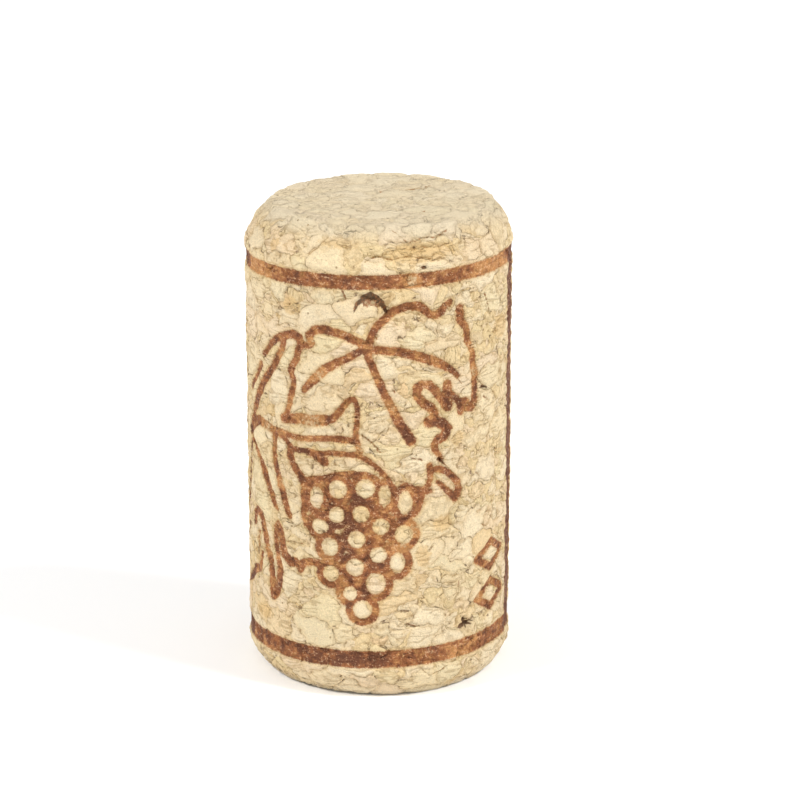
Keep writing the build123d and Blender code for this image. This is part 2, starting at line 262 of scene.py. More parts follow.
# Marks on the top, as the hollows but with points (x, y)
TOP_HOLLOWS = [
    (0.3, 0.2, 0.2, [(0.1, 2.9), (0.2, 2.4)]),
    (0.2, 0.36, 0.12, [(1.7, 2.7), (2.5, 3.4), (3.6, 4.1)]),
    (0.2, 0.2, 0.2, [(3.9, 4.7), (4.0, 4.7)]),
    (0.14, 0.24, 0.2, [(3.3, -3.9), (3.5, -3.8)]),
]
# Tan granules: s, z, half width, half height
TAN = [
    (-7.2, 31.6, 0.9, 0.75),
    (-9.5, 36.0, 0.6, 0.5),
    (3.4, 36.2, 3.0, 0.75),
    (-3.6, 36.9, 1.6, 0.4),
    (3.5, 11.9, 0.7, 0.9),
    (6.6, 21.1, 0.6, 0.6),
    (-12.0, 9.9, 0.8, 0.8),
    (5.2, 14.4, 0.9, 0.7),
    (11.8, 29.0, 1.2, 1.0),
    (-10.9, 5.6, 1.2, 0.6),
]

# A distance that counts as far from all that is drawn, in millimetres
FAR = 9.0
# Width of the burnt rim round the pale middle of a grape
GRAPE_RIM = 0.62
# How fast a weak or deep spot of the burn fades towards its radius
SPOT_FADE = 1.6
# Arc lengths, on both sides, between which the burn is deep, as at the bar, and how deep it is
DEEP_FROM = 13.0
DEEP_TO = 17.0
DEEP_BURN = 0.9
# The ends begin inside this share of the radius, within this height of the top or base
END_SHARE = 0.84
END_MARGIN = 1.0
# A bend is rounded by this many points, and takes at most this share of each side
BEND_POINTS = 6
BEND_REACH = 0.45
# Rows on the flat ends are this much wider than on the wall
END_ROWS = 2.2

# Small granules are this share of a large one's size, and this share of the large ones stay whole
SMALL_GRANULE = 0.47
WHOLE_GRANULES = 0.52
# Width of the cells that may hold a pit, and the random number above which one does
PIT_CELL = 1.9
PIT_CHOICE = 0.93
# Widths of the cells that hold a speck, and of the fine cells of the combed granules
SPECK_CELL = 0.75
COMB_CELL = 0.5


class Relief:
    """Heights and depths that the geometry gives the surface, in millimetres."""

    granule_step = 0.06
    granule_crown = 0.06
    roughness = 0.2
    ragged_rim = 0.16
    pit = 0.2


class Cover:
    """How strongly each layer of the colour shows, from 0 to 1."""

    rosy = 0.7
    green = 0.45
    odd_tan = 0.35
    tan = 0.5
    growth_lines = 0.36
    comb = 0.24
    cloud = 0.5
    grain = 0.7
    grit = 0.2
    seam_edge = 0.2
    seam = 0.56
    gap = 0.62
    bevel = 0.07
    top = 0.62
    base = 0.6
    speck = 0.6
    burn = 0.97
    faint_burn = 0.6
    burn_rim = 0.5
    flake = 0.6
    singe = 0.35
    burnt_seam = 0.6
    pit = 0.7


def srgb(red, green, blue):
    """A colour of 0 to 255 as Blender's linear numbers."""
    return tuple(((c / 255 + 0.055) / 1.055) ** 2.4 for c in (red, green, blue))


class CorkSizes(bpy.types.PropertyGroup):
    """Sizes of the cork. Lengths are in metres."""

    radius: FloatProperty(
        name="Radius", description="Radius of the wall", default=CORK_HIGH[1], unit="LENGTH"
    )
    length: FloatProperty(
        name="Length", description="Height of the standing cork",
        default=CORK_HIGH[2], unit="LENGTH",
    )
    base_in: FloatProperty(
        name="Base Bevel In", description="Base bevel, inwards", default=1.2 * MM, unit="LENGTH"
    )
    base_up: FloatProperty(
        name="Base Bevel Up", description="Base bevel, upwards", default=2.0 * MM, unit="LENGTH"
    )
    top_in: FloatProperty(
        name="Top Bevel In", description="Top bevel, inwards", default=1.8 * MM, unit="LENGTH"
    )
    top_down: FloatProperty(
        name="Top Bevel Down", description="Top bevel, downwards", default=2.8 * MM, unit="LENGTH"
    )
    top_shift: FloatProperty(
        name="Top Shift", description="How far the top is off centre",
        default=0.3 * MM, unit="LENGTH",
    )
    edge: FloatProperty(
        name="Edge Rounding", description="Radius of the rounded edges",
        default=0.6 * MM, unit="LENGTH",
    )
    bulge: FloatProperty(
        name="Bulge", description="How far the bevels bulge", default=0.24 * MM, unit="LENGTH"
    )
    burn_depth: FloatProperty(
        name="Burn Depth", description="Depth of the burnt lines", default=0.11 * MM, unit="LENGTH"
    )
    seam_depth: FloatProperty(
        name="Seam Depth", description="Depth of the seams between granules",
        default=0.1 * MM, unit="LENGTH",
    )
    swell: FloatProperty(
        name="Swell", description="How far the whole surface swells and sinks",
        default=0.16 * MM, unit="LENGTH",
    )
    upper_ring: FloatProperty(
        name="Upper Ring", description="Height of the upper ring's middle",
        default=34.08 * MM, unit="LENGTH",
    )
    upper_width: FloatProperty(
        name="Upper Ring Width", description="Width of the upper ring",
        default=1.18 * MM, unit="LENGTH",
    )
    lower_ring: FloatProperty(
        name="Lower Ring", description="Height of the lower ring's middle",
        default=3.43 * MM, unit="LENGTH",
    )
    lower_width: FloatProperty(
        name="Lower Ring Width", description="Width of the lower ring",
        default=1.47 * MM, unit="LENGTH",
    )
    ring_rise: FloatProperty(
        name="Ring Rise", description="How far the rings rise to the right",
        default=0.24 * MM, unit="LENGTH",
    )
    bar_place: FloatProperty(
        name="Bar Place", description="Arc length to the bar's middle",
        default=14.85 * MM, unit="LENGTH",
    )
    bar_width: FloatProperty(
        name="Bar Width", description="Width of the upright bar", default=2.4 * MM, unit="LENGTH"
    )
    granule: FloatProperty(
        name="Granule", description="Size of the large granules", default=2.7 * MM, unit="LENGTH"
    )
    around: IntProperty(name="Around", description="Faces round the wall", default=336)
    rows: FloatProperty(
        name="Row Height", description="Height of a row of faces", default=0.18 * MM, unit="LENGTH"
    )


class CorkColours(bpy.types.PropertyGroup):
    """Colours of the cork."""

    pale: FloatVectorProperty(
        name="Pale", description="Lightest granules", subtype="COLOR", default=srgb(230, 211, 176)
    )
    warm: FloatVectorProperty(
        name="Warm", description="Common granules", subtype="COLOR", default=srgb(226, 202, 157)
    )
    rosy: FloatVectorProperty(
        name="Rosy", description="Pinkish granules", subtype="COLOR", default=srgb(227, 203, 169)
    )
    green: FloatVectorProperty(
        name="Green", description="Greenish-grey granules", subtype="COLOR",
        default=srgb(221, 204, 160),
    )
    tan: FloatVectorProperty(
        name="Tan", description="Tan granules", subtype="COLOR", default=srgb(212, 173, 112)
    )
    # Cap stands for the end faces: darker to cancel the lamps above, painted shade, and greyer for the
    # grazing sheen, painted sheen
    cap: FloatVectorProperty(
        name="Cap", description="Sanded end faces", subtype="COLOR", default=srgb(203, 191, 166)
    )
    seam: FloatVectorProperty(
        name="Seam", description="Lines between granules", subtype="COLOR",
        default=srgb(128, 90, 30),
    )
    # Dark is painted shade at the bottoms of hollows, gaps and pits, over their own brown
    dark: FloatVectorProperty(
        name="Dark", description="Bottom of hollows", subtype="COLOR", default=srgb(84, 52, 34)
    )
    burn: FloatVectorProperty(
        name="Burn", description="Common burn", subtype="COLOR", default=srgb(149, 90, 52)
    )
    deep: FloatVectorProperty(
        name="Deep Burn", description="Darkest burn", subtype="COLOR", default=srgb(107, 59, 37)
    )
    amber: FloatVectorProperty(
        name="Amber", description="Weak burn", subtype="COLOR", default=srgb(187, 131, 78)
    )
    flake: FloatVectorProperty(
        name="Flake", description="Pale flecks in the burn", subtype="COLOR",
        default=srgb(222, 186, 144),
    )


class StudioLook(bpy.types.PropertyGroup):
    """The studio and its camera."""

    floor: FloatVectorProperty(
        name="Floor", description="Floor colour", subtype="COLOR", default=(0.97, 0.97, 0.97)
    )
    sky: FloatProperty(name="Sky", description="Strength of the light from all round", default=0.57)
    key: FloatProperty(name="Key", description="Power of the main lamp", default=5.0, unit="POWER")
    fill: FloatProperty(name="Fill", description="Power of the fill lamp", default=4.2, unit="POWER")
    key_place: FloatVectorProperty(
        name="Key Place", description="Where the main lamp hangs",
        default=(0.52, -0.24, 0.62), unit="LENGTH",
    )
    fill_place: FloatVectorProperty(
        name="Fill Place", description="Where the fill lamp hangs",
        default=(-0.5, -0.27, 0.62), unit="LENGTH",
    )
    lamp_size: FloatProperty(
        name="Lamp Size", description="Width of each lamp", default=0.2, unit="LENGTH"
    )
    lens: FloatProperty(name="Lens", description="Focal length in millimetres", default=143.12)
    pitch: FloatProperty(
        name="Pitch", description="How far the camera looks down",
        default=math.radians(17.504), subtype="ANGLE",
    )
    distance: FloatProperty(
        name="Distance", description="From the camera to its target",
        default=253.96 * MM, unit="LENGTH",
    )
    target: FloatVectorProperty(
        name="Target", description="What the camera aims at",
        default=(1.677 * MM, 0, 21.5 * MM), unit="LENGTH",
    )


class Sock:
    """A node's output that can be used in a Python expression."""

    def __init__(self, tree, out):
        self.tree = tree
        self.out = out

    def is_vector(self):
        return self.out.type in {"VECTOR", "RGBA"}

    def math(self, operation, *others, flip=False):
        """Applies a Math or Vector Math operation to this output and the others."""
        values = [*others, self] if flip else [self, *others]
        vectors = [v.is_vector() if isinstance(v, Sock) else isinstance(v, tuple) for v in values]
        if not any(vectors):
            return self.tree.add("ShaderNodeMath", {"operation": operation}, dict(enumerate(values)))
        if operation == "MULTIPLY" and not all(vectors):
            vector, scale = values if vectors[0] else values[::-1]
            given = {0: vector, "Scale": scale}
            return self.tree.add("ShaderNodeVectorMath", {"operation": "SCALE"}, given)
        for i, value in enumerate(values):
            if not vectors[i] and not isinstance(value, Sock):
                values[i] = (value, value, value)
        return self.tree.add("ShaderNodeVectorMath", {"operation": operation}, dict(enumerate(values)))

    def __add__(self, other):
        return self.math("ADD", other)

    def __radd__(self, other):
        return self.math("ADD", other)

    def __sub__(self, other):
        return self.math("SUBTRACT", other)

    def __rsub__(self, other):
        return self.math("SUBTRACT", other, flip=True)

    def __mul__(self, other):
        return self.math("MULTIPLY", other)

    def __rmul__(self, other):
        return self.math("MULTIPLY", other)

    def __truediv__(self, other):
        return self.math("DIVIDE", other)

    def __rtruediv__(self, other):
        return self.math("DIVIDE", other, flip=True)

    def low(self, other):
        """The smaller of the two."""
        return self.math("MINIMUM", other)

    def high(self, other):
        """The larger of the two."""
        return self.math("MAXIMUM", other)

    def sine(self):
        return self.math("SINE")

    def fraction(self):
        """What is left past the last whole number."""
        return self.math("FRACT")

    def above(self, other):
        """1 where this is the greater, else 0."""
        return self.math("GREATER_THAN", other)

    def ramp(self, start, end):
        """0 at start, 1 at end and smooth between them. The end may be the smaller."""
        given = {"Value": self, "From Min": start, "From Max": end, "To Min": 0.0, "To Max": 1.0}
        return self.tree.add("ShaderNodeMapRange", {"interpolation_type": "SMOOTHSTEP"}, given, "Result")

    def part(self, axis):
        """One of the three numbers of a vector or colour."""
        return self.tree.add("ShaderNodeSeparateXYZ", {}, {0: self}, axis)


class Tree:
    """A node tree that is built by calls."""

    def __init__(self, tree):
        self.tree = tree

    def node(self, kind, settings, given):
        """Adds a node: its settings first, then its inputs. A value that is a Sock is linked."""
        node = self.tree.nodes.new(kind)
        for name, value in settings.items():
            setattr(node, name, value)
        for name, value in given.items():
            socket = node.inputs[name]
            if isinstance(value, Sock):
                self.tree.links.new(value.out, socket)
            else:
                socket.default_value = value
        return node

    def add(self, kind, settings, given, output=0):
        """Adds a node and returns one of its outputs."""
        return Sock(self, self.node(kind, settings, given).outputs[output])

    def noise(self, place, per_mm, detail=2.0, roughness=0.5, output=0):
        """Noise of 0 to 1, or three such numbers from output 1."""
        given = {"Vector": place, "Scale": per_mm, "Detail": detail, "Roughness": roughness}
        return self.add("ShaderNodeTexNoise", {"noise_dimensions": "3D"}, given, output)

    def cells(self, place, size, feature="F1", output="Distance"):
        """Cells that are about size millimetres wide. Distances are in shares of that size."""
        settings = {"feature": feature, "voronoi_dimensions": "3D"}
        given = {"Vector": place, "Scale": 1 / size, "Randomness": 1.0}
        return self.add("ShaderNodeTexVoronoi", settings, given, output)

    def mix(self, share, first, second):
        """Numbers are mixed by one node, and colours and vectors by another. A share of 0 is the first."""
        sides = (first, second)
        if any(isinstance(v, tuple) or (isinstance(v, Sock) and v.is_vector()) for v in sides):
            first, second = [(*v, 1.0) if isinstance(v, tuple) else v for v in sides]
            given = {0: share, 6: first, 7: second}
            return self.add("ShaderNodeMix", {"data_type": "RGBA", "blend_type": "MIX"}, given, 2)
        given = {0: share, 2: first, 3: second}
        return self.add("ShaderNodeMix", {"data_type": "FLOAT"}, given, 0)


def granules(tree, place, size):
    """The granules at a place in millimetres.

    Returns three random numbers of each granule, and the distance to its edge in millimetres.
    The geometry and the material both call this, so that their granules are the same ones.
    """
    bend = (tree.noise(place, 0.75, 1.0, output=1) - 0.5) * 1.5
    crumple = (tree.noise(place, 2.0, 2.0, output=1) - 0.5) * 0.4
    flattened = (1.0, 1.0, 1.45)
    place = (place + bend + crumple) * flattened
    large = tree.cells(place, size, output="Color")
    large_edge = tree.cells(place, size, "DISTANCE_TO_EDGE") * size
    small_size = size * SMALL_GRANULE
    small = tree.cells(place, small_size, output="Color")
    small_edge = tree.cells(place, small_size, "DISTANCE_TO_EDGE") * small_size
    split = large.part("X").above(WHOLE_GRANULES)
    edge = large_edge.low(tree.mix(split, FAR, small_edge))
    tone = tree.mix(split, large, small)
    return tone, edge


def pits(tree, place, rim, bottom):
    """Round pits in a few of the cells: 0 past the rim, and 1 inside the bottom."""
    chosen = tree.cells(place, PIT_CELL, output="Color").part("Y").above(PIT_CHOICE)
    return tree.cells(place, PIT_CELL).ramp(rim, bottom) * chosen


def segment_distance(s, z, start, end):
    """The distance of places to a straight line, how far along it and how far to its left each is."""
    along = (end[0] - start[0], end[1] - start[1])
    length = math.hypot(*along)
    share = np.clip(((s - start[0]) * along[0] + (z - start[1]) * along[1]) / length**2, 0, 1)
    left = ((z - start[1]) * along[0] - (s - start[0]) * along[1]) / length
    return np.hypot(s - start[0] - share * along[0], z - start[1] - share * along[1]), share, left


def line_distance(s, z, first_width, last_width, points):
    """The distance of places to the middle of a line, its half width there and which side they are on."""
    lengths = [math.dist(a, b) for a, b in zip(points, points[1:])]
    total = sum(lengths)
    done = 0.0
    best = np.full(s.shape, FAR)
    half = np.full(s.shape, first_width / 2)
    side = np.full(s.shape, FAR)
    for start, end, length in zip(points, points[1:], lengths):
        away, share, left = segment_distance(s, z, start, end)
        run = (done + share * length) / total
        closer = away < best
        best = np.where(closer, away, best)
        half = np.where(closer, (first_width + (last_width - first_width) * run) / 2, half)
        side = np.where(closer, np.where(left < 0, -away, away), side)
        done += length
    return best, half, side


def oval_distance(s, z, middle_s, middle_z, wide, high):
    """About the distance of places to the rim of an oval. It is negative inside."""
    return (np.hypot((s - middle_s) / wide, (z - middle_z) / high) - 1) * min(wide, high)


def drawing_distance(sizes, s, z, turn):
    """The distance of places on the wall to the rim of the burnt drawing. It is negative inside."""
    best = np.full(s.shape, FAR)
    for first_width, last_width, points in UPPER_LEAF + VEINS + TENDRIL + LOWER_LEAF + SIDE_LEAF + LOZENGES:
        away, half, _ = line_distance(s, z, first_width, last_width, points)
        best = np.minimum(best, away - half)
    for middle_s, middle_z, wide, high in GRAPES:
        rim = oval_distance(s, z, middle_s, middle_z, wide + GRAPE_RIM, high + GRAPE_RIM)
        best = np.minimum(best, rim)
    for grape in GRAPES:
        best = np.maximum(best, -oval_distance(s, z, *grape))
    rise = sizes.ring_rise / MM * np.sin(turn)
    low = sizes.lower_ring / MM + rise
    high = sizes.upper_ring / MM + rise
    best = np.minimum(best, np.abs(z - low) - sizes.lower_width / MM / 2)
    best = np.minimum(best, np.abs(z - high) - sizes.upper_width / MM / 2)
    beside = np.abs(s - sizes.bar_place / MM) - sizes.bar_width / MM / 2
    bar = np.maximum(beside, np.maximum(low - z, z - high))
    return np.minimum(best, bar)


def rounded(corners, radii, steps):
    """Points along a line with its bends rounded, no more than a step apart in each straight piece."""
    corners = [np.array(c, float) for c in corners]
    path = [corners[0]]
    sizes = [steps[0]]
    for before, bend, after, radius, step in zip(corners, corners[1:], corners[2:], radii, steps[1:]):
        back = before - bend
        ahead = after - bend
        back_length = np.linalg.norm(back)
        ahead_length = np.linalg.norm(ahead)
        back /= back_length
        ahead /= ahead_length
        half = math.acos(float(np.clip(back @ ahead, -1, 1))) / 2
        reach = min(radius / math.tan(half), BEND_REACH * back_length, BEND_REACH * ahead_length)
        start = bend + back * reach
        end = bend + ahead * reach
        for share in np.linspace(0, 1, BEND_POINTS):
            path.append(start * (1 - share) ** 2 + bend * 2 * share * (1 - share) + end * share**2)
            sizes.append(step)
    path.append(corners[-1])
    fine = [path[0]]
    for a, b, step in zip(path, path[1:], sizes):
        parts = max(1, math.ceil(np.linalg.norm(b - a) / step))
        fine += [a + (b - a) * (i + 1) / parts for i in range(parts)]
    return np.array(fine)


def profile(sizes):
    """Radius and height, in millimetres, from the middle of the base round to the middle of the top."""
    radius = sizes.radius / MM
    length = sizes.length / MM
    bulge = sizes.bulge / MM
    low = (radius - sizes.base_in / MM, 0.0), (radius, sizes.base_up / MM)
    high = (radius, length - sizes.top_down / MM), (radius - sizes.top_in / MM, length)
    corners = [(0.0, 0.0)]
    for (r1, z1), (r2, z2), out in ((*low, bulge / 2), (*high, bulge)):
        away = out / math.hypot(r2 - r1, z2 - z1)
        middle = ((r1 + r2) / 2 + (z2 - z1) * away, (z1 + z2) / 2 - (r2 - r1) * away)
        corners += [(r1, z1), middle, (r2, z2)]
    corners.append((0.0, length))
    edge = sizes.edge / MM
    row = sizes.rows / MM
    radii = (edge, edge, edge, edge, edge * 2, edge / 2)
    return rounded(corners, radii, (row * END_ROWS, *[row] * 5, row * END_ROWS))


def turned_faces(rows, count):
    """Faces between rows of vertices, and fans from the last two vertices over the base and the top."""
    faces = []
    for first in range(0, (rows - 1) * count, count):
        for i in range(count):
            j = (i + 1) % count
            faces.append((first + i, first + j, first + count + j, first + count + i))
    last = (rows - 1) * count
    base = rows * count
    faces += [(base, (i + 1) % count, i) for i in range(count)]
    faces += [(base + 1, last + i, last + (i + 1) % count) for i in range(count)]
    return faces


def crack_fields(wall, top):
    """For each place the distance to the nearest hollow, its side, its half width and its depth.

    Wall and top are each two coordinates in millimetres, and where they hold.
    """
    shape = wall[0].shape
    fields = {
        "crack": np.full(shape, FAR),
        "crack_side": np.full(shape, FAR),
        "crack_half": np.zeros(shape),
        "crack_depth": np.zeros(shape),
    }
    for hollows, (right, up, here) in (HOLLOWS, wall), (TOP_HOLLOWS, top):
        for first_width, last_width, deep, points in hollows:
            away, half, side = line_distance(right, up, first_width, last_width, points)
            closer = (away < fields["crack"]) & here
            for name, value in zip(fields, (away, side, half, deep)):
                fields[name] = np.where(closer, value, fields[name])
    return fields


def weak_field(s, z, on_wall):
    """How weak the burn is: above 0 where it is faint and below 0 where it is deep."""
    spots = [np.clip(SPOT_FADE * (1 - np.hypot(s - a, z - b) / c), 0, 1) * d for a, b, c, d in FAINT]
    around = np.abs(s)
    deep = np.clip(around - DEEP_FROM, 0, 1) * (around < DEEP_TO) * DEEP_BURN
    return np.where(on_wall, np.max(spots, 0) + np.min(spots, 0), 0) - deep


def plain_body(sizes):
    """The turned body. Its mesh holds each vertex's place and its distances to what is drawn."""
    path = profile(sizes)[1:-1]
    count = sizes.around
    radius = sizes.radius / MM
    length = sizes.length / MM
    bevel = sizes.top_down / MM
    shift = sizes.top_shift / MM
    turns = np.arange(count) / count * 2 * math.pi
    turn = np.tile((turns + math.pi) % (2 * math.pi) - math.pi, len(path))
    out = np.repeat(path[:, 0], count)
    z = np.repeat(path[:, 1], count)
    x = out * np.sin(turn) + np.clip((z - length + bevel) / bevel, 0, 1) * shift
    y = -out * np.cos(turn)
    s = turn * radius
    vertices = np.vstack([np.stack([x, y, z], 1), [[0, 0, 0], [shift, 0, length]]])

    on_side = (out > radius * END_SHARE) | ((z > END_MARGIN) & (z < length - END_MARGIN))
    fields = {"drawing": np.where(on_side, drawing_distance(sizes, s, z, turn), FAR)}
    fields |= crack_fields((s, z, on_side), (x, y, ~on_side & (z > length / 2)))
    fields["weak"] = weak_field(s, z, on_side & (z > END_MARGIN))
    fields["tan"] = np.where(on_side, np.min([oval_distance(s, z, *oval) for oval in TAN], 0), FAR)

    faces = turned_faces(len(path), count)
    mesh = bpy.data.meshes.new("cork")
    mesh.from_pydata((vertices * MM).tolist(), [], faces)
    mesh.polygons.foreach_set("use_smooth", [True] * len(faces))
    for name, values in fields.items():
        end = FAR if name in {"drawing", "crack", "crack_side", "tan"} else 0.0
        data = mesh.attributes.new(name, "FLOAT", "POINT").data
        data.foreach_set("value", np.concatenate([values, [end, end]]))
    mesh.attributes.new("place", "FLOAT_VECTOR", "POINT").data.foreach_set("vector", vertices.ravel())
    mesh.validate()
    mesh.update()
    return mesh


def relief_group():
    """Geometry Nodes that press the granules, the burn and the hollows into a body's surface."""
    group = bpy.data.node_groups.new("Cork Relief", "GeometryNodeTree")
    interface = group.interface
    interface.new_socket("Geometry", in_out="INPUT", socket_type="NodeSocketGeometry")
    for name in ("Granule", "Burn Depth", "Swell", "Seam Depth"):
        socket = interface.new_socket(name, in_out="INPUT", socket_type="NodeSocketFloat")
        socket.description = "In millimetres"
    interface.new_socket("Material", in_out="INPUT", socket_type="NodeSocketMaterial")
    interface.new_socket("Geometry", in_out="OUTPUT", socket_type="NodeSocketGeometry")
    tree = Tree(group)
    given = tree.node("NodeGroupInput", {}, {})

    def sent(name):
        return Sock(tree, given.outputs[name])

    def field(name, kind="FLOAT"):
        return tree.add("GeometryNodeInputNamedAttribute", {"data_type": kind}, {"Name": name}, "Attribute")

    place = field("place", "FLOAT_VECTOR")
    tone, edge = granules(tree, place, sent("Granule"))
    swell = (tree.noise(place, 0.25) - 0.5) * sent("Swell")
    lift = (tone.part("X") - 0.5) * Relief.granule_step + edge.ramp(0.0, 0.7) * Relief.granule_crown
    ragged = (tree.noise(place, 3.2) - 0.5) * Relief.ragged_rim
    seam = edge.ramp(0.22, 0.0) * tree.noise(place, 0.9, 1.0).ramp(0.35, 0.65) * sent("Seam Depth")
    rough = (tree.noise(place * (0.8, 0.8, 1.4), 1.9, 3.0, 0.65) - 0.5) * Relief.roughness
    burn = (field("drawing") + ragged).ramp(0.1, -0.12) * sent("Burn Depth")
    pit = pits(tree, place, 0.16, 0.05) * Relief.pit
    crack = (field("crack") - field("crack_half") + ragged * 0.5).ramp(0.14, -0.08) * field("crack_depth")
    height = swell + lift + rough - seam - burn - pit - crack
    normal = tree.add("GeometryNodeInputNormal", {}, {})
    press = {"Geometry": sent("Geometry"), "Offset": normal * height * MM}
    moved = tree.add("GeometryNodeSetPosition", {}, press)
    real = tree.add("GeometryNodeRealizeInstances", {}, {"Geometry": moved})
    done = tree.add("GeometryNodeSetMaterial", {}, {"Geometry": real, "Material": sent("Material")})
    tree.node("NodeGroupOutput", {}, {"Geometry": done})
    return group


class CorkPattern:
    """The patterns that the material's layers share.

    The noises run from 0 to 1, apart from ragged, which runs from -0.5 to 0.5.
    """

    def __init__(self, tree, granule):
        self.tree = tree
        self.place = self.field("place", "Vector")
        self.tone, self.edge = granules(tree, self.place, granule)
        self.first, self.second, self.third = (self.tone.part(axis) for axis in "XYZ")
        self.ragged = tree.noise(self.place, 3.2) - 0.5
        self.blotch = tree.noise(self.place, 0.9, 3.0, 0.6)
        self.cloud = tree.noise(self.place, 4.2, 3.0, 0.7)
        self.grain = tree.noise(self.place, 9.0, 2.0, 0.7)

    def field(self, name, output="Fac"):
        """What the body's mesh holds at each place under a name."""
        return self.tree.add("ShaderNodeAttribute", {"attribute_name": name}, {}, output)

    def granule_colour(self, ink):
        """The colour of each granule, and where the tan ones are."""
        mix = self.tree.mix
        colour = mix(self.first.ramp(0.1, 0.8), ink["pale"], ink["warm"])
        colour = mix(self.second.ramp(0.66, 0.9) * Cover.rosy, colour, ink["rosy"])
        colour = mix(self.third.ramp(0.7, 0.95) * Cover.green, colour, ink["green"])
        odd = (self.first * 7.3 + self.third * 3.1).fraction()
        colour = mix(odd.ramp(0.94, 0.97) * Cover.odd_tan, colour, ink["tan"])
        tanned = (self.field("tan") + self.ragged * 0.6).ramp(0.15, -0.2)
        return mix(tanned * Cover.tan, colour, ink["tan"]), tanned

    def growth_lines(self, tanned):
        """Level lines of a noise that is stretched another way in each granule, their waves and combs."""
        tree = self.tree
        style = (self.third * 5.7).fraction()
        turned = self.first.above(0.7) * (1.0 - tanned).above(0.5)
        stretch = tree.mix(turned, (0.55, 0.55, 2.1), (1.9, 1.9, 0.7))
        level = tree.noise(self.place * stretch + self.tone * 31.0, 0.5, 2.0, 0.45)
        waves = (level * 44.0 + (self.cloud - 0.5) * 1.6).sine()
        lined = style.ramp(0.1, 0.2) * style.ramp(0.86, 0.76)
        lined = (lined * tree.noise(self.place, 1.1, 1.0).ramp(0.34, 0.5)).high(tanned)
        bent = self.place + (tree.noise(self.place, 2.6, 1.0, output=1) - 0.5) * 0.5
        comb = tree.cells(bent, COMB_CELL).ramp(0.4, 0.8) * style.ramp(0.7, 0.85)
        return waves.ramp(0.2, 1.0) * lined, waves * lined, comb

    def seams(self):
        """Thin broken seams between the granules, and wide gaps here and there in them, which are painted
        with the dark colour: partly dark joints, partly painted shade in the crevices.
        """
        tree = self.tree
        width = 0.05 + tree.noise(self.place, 0.8, 2.0, 0.6).ramp(0.42, 0.75) * 0.08
        seam = ((self.edge + (self.cloud - 0.5) * 0.08) / width).ramp(1.0, 0.1)
        gap = (self.edge / 0.1).ramp(1.0, 0.3) * tree.noise(self.place, 1.1, 3.0, 0.7).ramp(0.57, 0.67)
        return seam * tree.noise(self.place, 1.9, 2.0, 0.6).ramp(0.38, 0.66), gap

    def specks(self):
        """Small dark specks in some of the cells."""
        chosen = self.tree.cells(self.place, SPECK_CELL, output="Color").part("X").ramp(0.8, 0.86)
        return self.tree.cells(self.place, SPECK_CELL).ramp(0.16, 0.06) * chosen

    def burn(self, ink, lines):
        """How burnt each place is, the burn's colour, and how singed the cork beside it is."""
        tree = self.tree
        inside = self.field("drawing") + self.ragged * 0.2 + (self.grain - 0.5) * 0.16
        weak = self.field("weak") * (0.4 + self.cloud * 1.2)
        burnt = inside.ramp(0.08, -0.08) * (1.0 - (weak + self.ragged).ramp(0.85, 1.25) * Cover.faint_burn)
        mottle = tree.noise(self.place * (0.75, 0.75, 1.5), 2.4, 3.0, 0.7)
        strength = tree.noise(self.place, 1.2, 3.0, 0.65) - weak * 0.34
        colour = tree.mix(strength.ramp(0.35, 0.52), ink["amber"], ink["burn"])
        colour = tree.mix(strength.ramp(0.5, 0.68), colour, ink["deep"])
        rim = inside.ramp(-0.2, 0.02) * tree.noise(self.place, 0.9).ramp(0.35, 0.65)
        colour = tree.mix(rim * Cover.burn_rim, colour, ink["amber"])
        colour = colour * (1.0 + (self.grain - 0.5) * 0.6 + (mottle - 0.5) * 1.6 - lines * 0.2)
        flake = (self.grain * 0.45 + mottle * 0.55).ramp(0.54, 0.63)
        colour = tree.mix(flake * (Cover.flake + weak.high(0.0) * 0.2), colour, ink["flake"])
        return burnt, colour, inside.ramp(0.3, 0.0) * (1.0 - burnt)

    def cracks(self, ink):
        """How far each place is covered by a crack or hollow, and the colour in it, which is painted darker
        with the hollow's depth as painted shade.
        """
        tree = self.tree
        away = self.field("crack") - self.field("crack_half")
        depth = self.field("crack_depth")
        wander = (tree.noise(self.place, 1.6) - 0.5) * 0.24 + (self.cloud - 0.5) * 0.16
        aside = (self.field("crack_side") + wander).math("ABSOLUTE")
        aside = aside - self.field("crack_half") * (0.5 + self.blotch)
        crack = aside.ramp(0.04, -0.06) * (away + self.cloud * 0.1).ramp(0.2, 0.12)
        # Deeper hollows turn from the seam colour to the burn and then the dark colour: painted shade at
        # their bottoms
        sunk = depth.ramp(0.1, 0.45) * 0.75 + (self.cloud - 0.5) * 2.2 - 0.2
        colour = tree.mix(sunk.ramp(-0.1, 0.2), ink["seam"], ink["burn"])
        colour = tree.mix(sunk.ramp(0.2, 0.5), colour, ink["dark"])
        faded = (depth.ramp(0.15, 0.4) + self.cloud.ramp(0.42, 0.6)).low(1.0)
        return crack * (0.3 + faded * 0.56), colour


